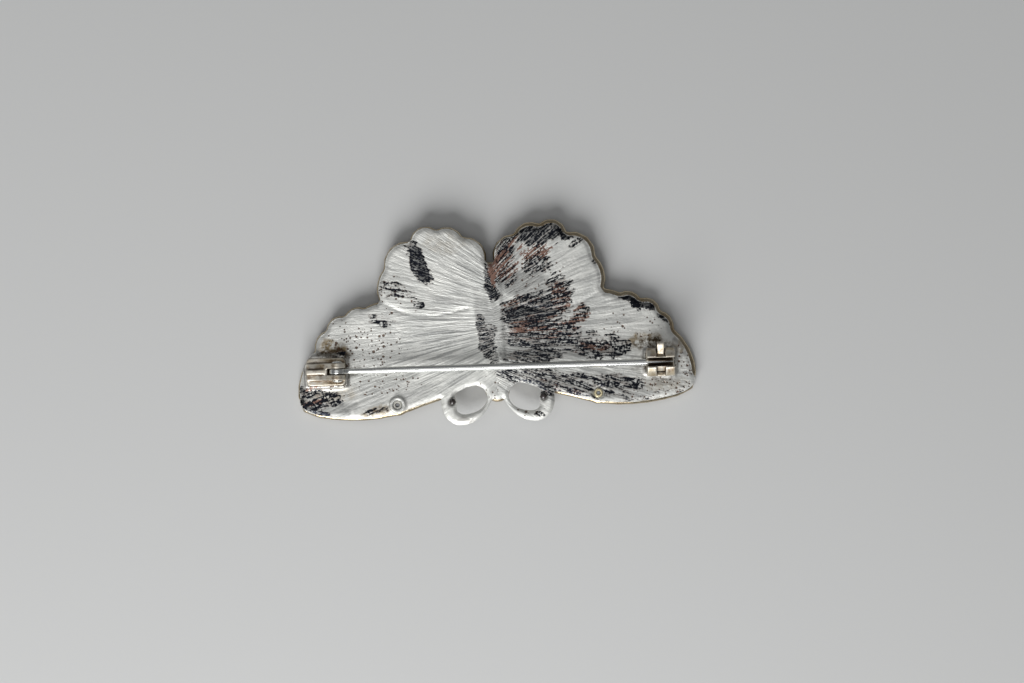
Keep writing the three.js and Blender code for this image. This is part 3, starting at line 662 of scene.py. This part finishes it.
# Patches on the plate: middle, half length and width, turn in degrees, strength from 0 to 1.
patches = {
    # reflectionAndShade: painted dark reflections drawn as streaky black tarnish, and painted shade under the
    # eyelets and north of the hinge.
    "reflectionAndShade": [
        ((-11.2, 10.0), (3.8, 1.5), -70, 1.0),    # left hindwing
        ((-15.6, 6.3), (2.6, 1.9), -8, 0.42),
        ((-11.7, 3.6), (0.9, 0.7), -4, 0.85),
        ((-12.6, 4.6), (0.7, 2.1), 16, 0.4),
        ((-17.6, 1.6), (2.2, 1.0), -16, 0.66),    # left forewing
        ((-28.1, -10.4), (3.5, 1.6), -8, 0.8),
        ((-31.1, -9.9), (2.3, 0.5), -84, 0.9),
        ((-28.6, -12.7), (3.2, 0.8), -32, 1.0),
        ((-19.3, -13.1), (2.3, 0.6), 6, 0.5),
        # painted shadow north of the hinge
        ((-26.2, -3.0), (2.5, 1.2), -14, 0.4),
        ((-1.3, -2.3), (4.1, 1.3), -78, 0.8),     # body
        ((2.0, -8.7), (1.1, 1.0), 0, 0.7),
        ((-0.5, 6.3), (3.2, 0.55), -82, 0.9),
        ((0.2, 4.8), (1.7, 0.8), -54, 0.92),
        ((8.3, 14.0), (4.8, 2.3), 6, 0.92),       # right hindwing
        ((2.3, 11.6), (1.9, 2.5), 16, 0.72),
        ((12.0, 13.4), (1.7, 0.9), -14, 0.97),
        ((14.0, 11.8), (1.6, 0.6), 26, 0.5),
        ((7.5, 8.7), (2.4, 1.7), 16, 0.85),
        ((7.5, 10.5), (2.2, 1.4), 16, 0.32),
        ((2.2, 7.6), (2.3, 1.9), 26, 0.5),
        ((5.4, 5.6), (3.8, 1.6), -4, 0.2),
        ((10.8, 4.2), (2.0, 3.0), 6, 0.82),
        ((11.8, 5.4), (1.5, 0.7), 32, 0.85),
        ((16.8, 8.5), (0.7, 0.45), -24, 0.9),
        ((6.6, 1.6), (5.8, 3.0), 9, 0.9),        # right forewing
        ((7.2, -2.0), (6.4, 2.5), 0, 0.72),
        ((13.5, -0.2), (2.8, 1.4), 56, 0.62),
        ((12.0, -3.7), (9.8, 1.5), -4, 0.76),
        ((6.4, -5.6), (5.4, 1.5), 0, 0.86),
        ((17.2, -5.4), (4.8, 1.6), -4, 0.82),
        ((8.1, -9.8), (8.6, 2.3), -14, 0.76),
        ((19.4, -10.8), (4.4, 1.7), -6, 0.78),
        ((14.0, -10.6), (3.6, 1.6), -6, 0.72),
        ((18.7, -13.1), (4.5, 1.1), -6, 0.25),
        ((22.8, 2.2), (4.3, 0.85), -26, 1.0),
        ((27.4, -1.2), (2.0, 0.5), -46, 0.95),
        ((30.0, -8.9), (1.7, 3.2), -4, 0.2),
        ((26.7, -13.1), (4.3, 1.3), 8, 0.34),
        ((6.7, -14.8), (1.1, 0.6), 16, 0.6),
        ((-15.9, -12.2), (0.5, 0.4), 0, 1.0),      # painted shade under the eyelets' holes
        ((16.0, -12.15), (0.45, 0.4), 0, 1.0),
    ],
    # pinkReflection: painted pinkish reflections, drawn as copper through worn plating.
    "pinkReflection": [
        ((0.2, 7.7), (2.3, 0.7), -84, 0.95),
        ((7.2, 10.9), (2.8, 1.6), 16, 0.62),
        ((2.3, 8.8), (2.2, 2.8), 26, 0.6),
        ((2.8, 12.0), (2.0, 1.6), 26, 0.5),
        ((10.8, 3.4), (1.8, 2.4), 6, 0.78),
        ((13.5, -0.2), (2.8, 1.4), 56, 0.68),
        ((7.5, -1.6), (5.8, 2.2), 0, 0.52),
        ((5.0, 2.0), (3.8, 2.2), 6, 0.4),
        ((15.4, -5.0), (3.4, 1.0), 0, 0.5),
        ((-29.5, -10.2), (1.8, 1.4), 0, 0.6),
        ((-28.0, -4.4), (1.5, 0.5), 10, 0.5),
        ((10.0, -11.0), (4.0, 1.0), -16, 0.35),
    ],
    "pits": [
        ((-20.7, -2.6), (6.4, 3.4), -4, 1.0),
        ((-19.0, -8.6), (7.5, 1.6), 0, 0.8),
        ((-24.5, 2.0), (3.0, 1.6), 30, 0.4),
        ((-16.0, 5.2), (3.0, 2.6), 0, 0.5),
        ((-1.2, -10.2), (1.9, 2.0), 0, 0.9),
        ((22.5, -1.6), (5.5, 2.6), 0, 0.6),
        ((30.0, -8.0), (1.8, 3.4), 0, 0.85),
        ((26.0, -12.2), (5.0, 2.2), 0, 0.75),
        ((4.6, -14.6), (3.0, 1.2), 0, 0.4),
        ((8.0, 7.4), (4.0, 3.0), 0, 0.4),
    ],
    "grimeAndShade": [
        # painted shadow north of the hinge
        ((-26.0, -3.0), (2.6, 1.7), -14, 1.0),
        # painted shadow north of the catch, with the next patch
        ((24.2, -4.4), (3.4, 1.2), -4, 0.9),
        ((28.6, -5.2), (1.6, 1.4), 0, 0.7),
        ((-26.0, -9.6), (3.6, 1.4), 0, 0.4),
        ((-19.3, -13.1), (2.6, 0.8), 6, 0.8),
        ((27.0, -11.5), (3.0, 1.0), 0, 0.35),
        ((-7.0, 13.0), (4.0, 1.6), 0, 0.25),
    ],
    # greyShade: painted shade, a smooth grey laid over darker parts of the back.
    "greyShade": [
        ((5.4, 5.8), (4.6, 1.9), -4, 0.75),
        ((0.9, -2.0), (0.9, 7.0), 8, 0.5),
        ((-1.4, 0.0), (1.5, 5.0), 8, 0.6),
        ((-26.5, -12.5), (4.8, 1.3), 4, 0.85),
        ((-17.0, -10.0), (9.0, 3.0), 4, 0.35),
        ((15.0, -11.4), (9.5, 3.2), -6, 0.7),
        ((8.0, -3.0), (7.5, 5.5), 0, 0.45),
        ((3.2, 11.4), (1.6, 1.2), 20, 0.8),
    ],
    # sootAndShade: dark soot, with painted shadows north of the hinge and catch in the first two patches.
    "sootAndShade": [
        # painted shadow north of the hinge
        ((-25.8, -3.4), (2.8, 1.2), -10, 0.85),
        # painted shadow north of the catch
        ((24.8, -4.9), (2.9, 0.9), -3, 0.95),
        ((-19.4, -13.0), (2.2, 0.5), 8, 0.6),
        ((-30.9, -10.6), (0.7, 2.6), 10, 0.6),
    ],
    "solder": [
        ((-27.6, -8.9), (3.4, 0.7), -4, 0.6),
        ((26.2, -10.8), (2.8, 0.7), 0, 0.5),
        ((28.6, -4.4), (0.6, 0.8), 0, 0.9),
        ((-5.6, -15.4), (1.6, 0.6), 0, 0.7),
    ],
    "lines": [
        ((-8.8, -3.0), (8.5, 7.5), 0, 0.95),
        ((-3.5, 7.0), (2.6, 4.2), 0, 0.8),
        ((-16.0, -8.5), (10.0, 4.0), 0, 0.35),
        ((18.0, 3.0), (7.0, 6.0), 0, 0.6),
        ((14.0, 9.0), (5.0, 5.0), 0, 0.5),
        ((12.0, -8.0), (14.0, 6.0), 0, 0.8),
        ((4.0, 4.0), (6.0, 9.0), 0, 0.7),
    ],
}


def wanderAt(x, y):
    broad = noise.noise_vector(Vector((x * 0.5, y * 0.5, 3.1)))
    close = noise.noise_vector(Vector((x * 1.7, y * 1.7, 8.4)))
    return broad + close * 0.45


def coverage(kind, x, y, wander):
    most = 0
    for (middleX, middleY), (length, width), turn, strength in patches[kind]:
        far = 1.4 * max(length, width)
        if abs(x - middleX) > far or abs(y - middleY) > far:
            continue
        loose = 0.75 * min(1.2, width)
        offX = x + wander.x * loose - middleX
        offY = y + wander.y * loose - middleY
        angle = math.radians(turn)
        u = offX * math.cos(angle) + offY * math.sin(angle)
        v = offY * math.cos(angle) - offX * math.sin(angle)
        away = math.hypot(u / length, v / width)
        most = max(most, strength * (1 - ease(away, 0.74, 1.2)))
    return most


def fanAt(x, y):
    # The same lines as the silver finish: across and along them.
    out = abs(x) + fan["reach"]
    up = y - (fan["right"] if x > 0 else fan["left"])
    return math.atan2(up, out) * 22, math.hypot(out, up)


def outsideFoot(foot, x, y):
    # Distance from a finding's foot, and 0 under it.
    there = onPin.inverted() @ Vector((x, y, onPin.translation.z))
    beyondX = max(foot[0] - there.x, there.x - foot[1], 0)
    beyondY = max(foot[2] - there.y, there.y - foot[3], 0)
    return math.hypot(beyondX, beyondY)


def plateLift(x, y, edgeAway, footAway, lined):
    across, along = fanAt(x, y)
    side = 17.0 if x > 0 else 0.0
    line = noise.noise(Vector((across / plate["lineWidth"], along / plate["lineLength"], side)))
    line += 0.5 * noise.noise(Vector((across / 0.26, along / 1.6, side + 5)))
    swell = noise.noise(Vector((x, y, 2.0)) / plate["swellSize"])
    bodyShare = 1 - ease(abs(x + 0.1), plate["spine"] * 0.75, plate["spine"] * 1.15)
    bodyShare *= 1 - ease(y, 4.5, 7.0)
    lift = plate["lineHeight"] * line * (0.35 + 0.65 * lined) * (1 - 0.6 * bodyShare) + plate["swell"] * swell
    lift += plate["spineHeight"] * bodyShare * ease(y, -9.5, -6.5)
    rolled = max(0, 1 - edgeAway / plate["edgeWidth"])
    lift -= plate["edgeDrop"] * rolled * rolled
    free = ease(footAway, 0.05, 0.9)
    solder = plate["solderRise"] * math.exp(-((footAway / plate["solderReach"]) ** 2))
    solder *= 0.8 + 0.5 * noise.noise(Vector((x * 0.9, y * 0.9, 6.0)))
    return lift * free + (solder if footAway > 0 else 0)


def flatTree(verts):
    tree = kdtree.KDTree(len(verts))
    for index, vert in enumerate(verts):
        tree.insert((vert.co.x, vert.co.y, 0), index)
    tree.balance()
    return tree


def wallsOf(bm):
    return [v for v in bm.verts if abs(v.normal.z) < 0.45]


def overhangRim(bm, reach=1.2, probe=1.5):
    # Moves the scalloped edge out over the rim; walls of holes and pads have metal beyond them and stay.
    walls = wallsOf(bm)
    every = flatTree(list(bm.verts))
    outer = []
    for vert in walls:
        outward = Vector((vert.normal.x, vert.normal.y, 0)).normalized()
        beyond = vert.co + outward * probe
        if vert.co.y > -9.5 and every.find((beyond.x, beyond.y, 0))[2] > 0.5:
            outer.append((vert, outward))
    tree = flatTree([vert for vert, _ in outer])
    moves = []
    for vert in bm.verts:
        _, index, away = tree.find((vert.co.x, vert.co.y, 0))
        if away < reach:
            right = ease(vert.co.x, 1.0, 8.0)
            amount = plate["overhangLeft"] * (1 - right) + plate["overhangRight"] * right
            moves.append((vert, outer[index][1] * amount * (1 - away / reach)))
    for vert, move in moves:
        vert.co += move
    soften(bm, 1)
    bm.normal_update()


def backPlate():
    bm = castCopy("back_plate", plate["voxel"], plate["rounds"])
    bm.normal_update()
    overhangRim(bm)
    tree = flatTree(wallsOf(bm))
    feet = [footOf("hinge_joint"), footOf("catch_shell")]
    layers = {kind: bm.verts.layers.float.new(kind) for kind in patches}
    shelter = bm.verts.layers.float.new("shelter")
    for vert in bm.verts:
        x, y, _ = vert.co
        wander = wanderAt(x, y)
        up = ease(vert.normal.z, 0.35, 0.85)
        for kind, layer in layers.items():
            vert[layer] = coverage(kind, x, y, wander) * (plate["wallShare"] * (1 - up) + up)
        if up == 0:
            continue
        edgeAway = tree.find((x, y, 0))[2]
        footAway = min(outsideFoot(foot, x, y) for foot in feet)
        vert.co.z += up * plateLift(x, y, edgeAway, footAway, vert[layers["lines"]])
        near = 1 - ease(footAway, 0.25, 1.0)
        if footAway > 0:
            vert[layers["solder"]] = max(vert[layers["solder"]], 0.8 * near)
        # Points closed in by the hinge and catch get painted shade round them.
        if footAway < 2.5:
            vert[shelter] = shelterAt(vert.co, Vector((0, 0, 1)), 2.2, 0.4)
    soften(bm, 1)
    markEdges(bm)
    return finishPiece(bm, "cast_back_plate", "brooch", ["back_plate"], silverFinish)


backPlate()


# Front frame

front = {
    "voxel": 0.19, "rounds": 3,
    "ribHeight": 0.05, "ribWidth": 0.75, "ribLength": 9.0,   # engraved ribs between the veins
    "bodyHalf": 2.4, "hairPitch": 0.55, "hairDepth": 0.06,
}


def frontLift(x, y):
    across, along = fanAt(x, y)
    if abs(x) < front["bodyHalf"]:
        return front["hairDepth"] * math.sin(y * math.tau / front["hairPitch"])
    rib = noise.noise(Vector((across / front["ribWidth"], along / front["ribLength"], 30.0)))
    return front["ribHeight"] * math.sin(across * math.tau / front["ribWidth"] + 2.2 * rib)


def frontFrame():
    bm = castCopy("front_frame", front["voxel"], front["rounds"])
    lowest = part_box("front_frame")[0].z / mm
    bm.normal_update()
    for vert in bm.verts:
        down = ease(-vert.normal.z, 0.55, 0.95)
        if down:
            vert.co.z = max(lowest, vert.co.z + down * frontLift(vert.co.x, vert.co.y))
    markEdges(bm)
    markShelter(bm, 1.2)
    return finishPiece(bm, "gold_front_frame", "brooch", ["front_frame"], goldFinish)


frontFrame()


# Findings

finding = {"voxel": 0.085, "rounds": 5, "ripple": 0.03, "rippleSize": 1.1}


def castFinding(node, name, body):
    bm = castCopy(node, finding["voxel"], finding["rounds"])
    bm.normal_update()
    for vert in bm.verts:
        vert.co += vert.normal * finding["ripple"] * noise.noise(vert.co / finding["rippleSize"])
    markEdges(bm, 4)
    markShelter(bm)
    return finishPiece(bm, name, body, [node], nickelFinish)


castFinding("hinge_joint", "riveted_hinge", "brooch")
castFinding("catch_shell", "catch_barrel", "brooch")
castFinding("catch_roller", "locking_roller", "roller")

pin = {
    "steps": 40, "neck": 0.4, "radius": 0.53, "taper": 5.0, "tip": 0.06,
    "eyeInner": 0.58, "eyeOuter": 1.25, "eyeThick": 0.75, "eyeRound": 0.14,
}


def pinStem():
    tip = pinSpan + 2.05
    full = pin["radius"]
    stem = spun([
        (0.8, 0, 0), (0.8, 0, pin["neck"] * 0.85), (2.0, 0, pin["neck"]), (6.5, 0, full * 0.9),
        (11.0, 0, full), (tip - pin["taper"], 0, full), (tip - 3.4, 0, full * 0.92),
        (tip - 2.0, 0, full * 0.7), (tip - 0.9, 0, full * 0.42), (tip - 0.08, 0, pin["tip"]), (tip, 0, 0),
    ], pin["steps"], (1, 0, 0))
    half = pin["eyeThick"] / 2
    eye = turnedRing(pin["eyeInner"], pin["eyeOuter"], -half, half, 48, "y")
    bevelSharp(eye, pin["eyeRound"], 3)
    bm = combine(stem, eye, "UNION")
    bmesh.ops.transform(bm, matrix=onPin, verts=bm.verts)
    markEdges(bm, 1)
    return finishPiece(bm, "pin_wire", "pin", ["pin_stem"], steelFinish)


def hingeRivet():
    # A plain shank with a domed head hammered over at each end.
    low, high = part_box("hinge_rivet")
    half = (high.z - low.z) / 2 / mm
    face = (high.y - low.y) / 2 / mm - 0.35 + 0.005
    shank = 0.5
    domed = []
    for share in range(7):
        angle = math.radians(15 * share)
        domed.append((half * math.sin(angle), face + 0.33 * math.cos(angle)))
    rightHalf = domed + [(half, face), (shank, face)]
    leftHalf = [(r, -h) for r, h in reversed(rightHalf)]
    bm = spun([(r, h, 0) for r, h in rightHalf + leftHalf], 40, (0, 1, 0))
    bmesh.ops.transform(bm, matrix=onPin, verts=bm.verts)
    markEdges(bm, 1)
    return finishPiece(bm, "hinge_rivet_pin", "brooch", ["hinge_rivet"], steelFinish)


pinStem()
hingeRivet()


# Stones and their eyelets

eyelet = {
    "hole": 0.28, "round": 0.09, "steps": 40,
    "bare": {"left": 0.9, "right": 0.1},   # how far the brass has lost its colour
}


def stoneEyelet(side):
    node = f"stone_eyelet_{side}"
    low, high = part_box(node)
    middle = middleOf(node)
    outer = (high.x - low.x) / 2 / mm
    half = (high.z - low.z) / 2 / mm
    bm = turnedRing(eyelet["hole"], outer, -half, half, eyelet["steps"])
    bevelSharp(bm, eyelet["round"], 3)
    bmesh.ops.translate(bm, vec=middle, verts=bm.verts)
    markEdges(bm, 1)
    bare = bm.verts.layers.float.new("bare")
    edge = bm.verts.layers.float["edge"]
    for vert in bm.verts:
        vert[bare] = eyelet["bare"][side]
        if (vert.co - middle).to_2d().length < eyelet["hole"] + eyelet["round"]:
            vert[edge] = -1   # the hole's wall is darkened all round as painted shade
    return finishPiece(bm, f"eyelet_{side}", "brooch", [node], brassFinish)


def forewingStone(side):
    # A round stone cut with a table, a crown of kite facets, a thin girdle and a pointed back.
    node = f"forewing_stone_{side}"
    low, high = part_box(node)
    middle = middleOf(node)
    radius = (high.x - low.x) / 2 / mm
    frontZ = low.z / mm
    backZ = high.z / mm
    tiers = [(0.58, frontZ, 8, 0), (0.82, frontZ + 0.2, 8, 0.5), (1.0, frontZ + 0.45, 16, 0),
             (1.0, frontZ + 0.62, 16, 0), (0.42, backZ - 0.14, 8, 0.5), (0.1, backZ, 8, 0)]
    bm = bmesh.new()
    for share, z, count, offset in tiers:
        turn = Matrix.Rotation(math.tau * offset / count, 4, "Z")
        place = Matrix.Translation((middle.x, middle.y, z)) @ turn
        bmesh.ops.create_circle(bm, radius=share * radius, segments=count, matrix=place)
    hull = bmesh.ops.convex_hull(bm, input=bm.verts)
    inside = [item for item in hull["geom_interior"] + hull["geom_unused"] if isinstance(item, bmesh.types.BMVert)]
    bmesh.ops.delete(bm, geom=inside, context="VERTS")
    bmesh.ops.dissolve_limit(bm, angle_limit=math.radians(1), verts=bm.verts, edges=bm.edges)
    bmesh.ops.recalc_face_normals(bm, faces=bm.faces)
    return finishPiece(bm, f"cut_stone_{side}", "brooch", [node], clearFinish, smooth=False)


def antennaStone(side):
    # A round bead, a little flattened where it sits in its pocket.
    node = f"antenna_stone_{side}"
    middle = middleOf(node)
    low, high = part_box(node)
    radius = (high.x - low.x) / 2 / mm
    bm = bmesh.new()
    bmesh.ops.create_icosphere(bm, subdivisions=4, radius=radius)
    for vert in bm.verts:
        vert.co.z *= 0.8 if vert.co.z < 0 else 1
        vert.co += vert.normal * 0.03 * noise.noise(vert.co * 2.2 + middle)
    bmesh.ops.translate(bm, vec=middle, verts=bm.verts)
    return finishPiece(bm, f"bead_{side}", "brooch", [node], blackFinish)


for side in ("left", "right"):
    stoneEyelet(side)
    forewingStone(side)
    antennaStone(side)


# Floor, light and camera

studio = {
    "floorSize": 3.0, "floorColour": (0.60, 0.605, 0.60, 1),
    "world": 0.16, "key": 3.7, "keySize": 0.42, "keyPlace": (-0.16, -0.46, 0.36),
    "top": 0.72, "topSize": 0.7, "topPlace": (-0.15, 0.0, 0.75),
}


def makeFloor():
    bm = bmesh.new()
    bmesh.ops.create_grid(bm, x_segments=8, y_segments=8, size=studio["floorSize"] / 2)
    floor = toObject(bm, "floor")
    material, tree, shader, place = newMaterial("pale paper")
    fibre = noiseField(tree, place, 900.0, 4.0, 0.6)
    cloud = noiseField(tree, place, 6.0, 2.0, 0.5)
    tint = mixColour(tree, cloud, studio["floorColour"], (0.63, 0.635, 0.63, 1))
    tree.links.new(tint, shader.inputs["Base Color"])
    tree.links.new(mixValue(tree, fibre, 0.6, 0.8), shader.inputs["Roughness"])
    addBump(tree, shader, fibre, 0.02, 0.3)
    floor.data.materials.append(material)
    return floor


def areaLight(name, place, size, power, target=(0, 0, 0), colour=(1, 1, 1)):
    data = bpy.data.lights.new(name, "AREA")
    data.shape = "DISK"
    data.size = size
    data.energy = power
    data.color = colour
    light = bpy.data.objects.new(name, data)
    light.location = place
    light.rotation_euler = (Vector(target) - Vector(place)).to_track_quat("-Z", "Y").to_euler()
    scene.collection.objects.link(light)
    return light


def makeWorld():
    world = bpy.data.worlds.new("studio")
    world.use_nodes = True
    background = world.node_tree.nodes["Background"]
    background.inputs["Color"].default_value = (0.97, 0.98, 1.0, 1)
    background.inputs["Strength"].default_value = studio["world"]
    scene.world = world


shot = {"look": (0.002775, -0.00318), "height": 0.453, "width": 0.164, "roll": -3.5, "sensor": 36.0}


def makeCamera():
    data = bpy.data.cameras.new("camera")
    data.sensor_width = shot["sensor"]
    data.lens = shot["sensor"] * shot["height"] / shot["width"]
    data.clip_start = 0.01
    data.clip_end = 10.0
    camera = bpy.data.objects.new("camera", data)
    camera.location = (*shot["look"], shot["height"])
    camera.rotation_euler = (0, 0, math.radians(shot["roll"]))
    scene.collection.objects.link(camera)
    scene.camera = camera


makeFloor()
areaLight("key", studio["keyPlace"], studio["keySize"], studio["key"])
areaLight("top", studio["topPlace"], studio["topSize"], studio["top"])
makeWorld()
makeCamera()
scene.view_settings.view_transform = "Standard"
print("stage set")
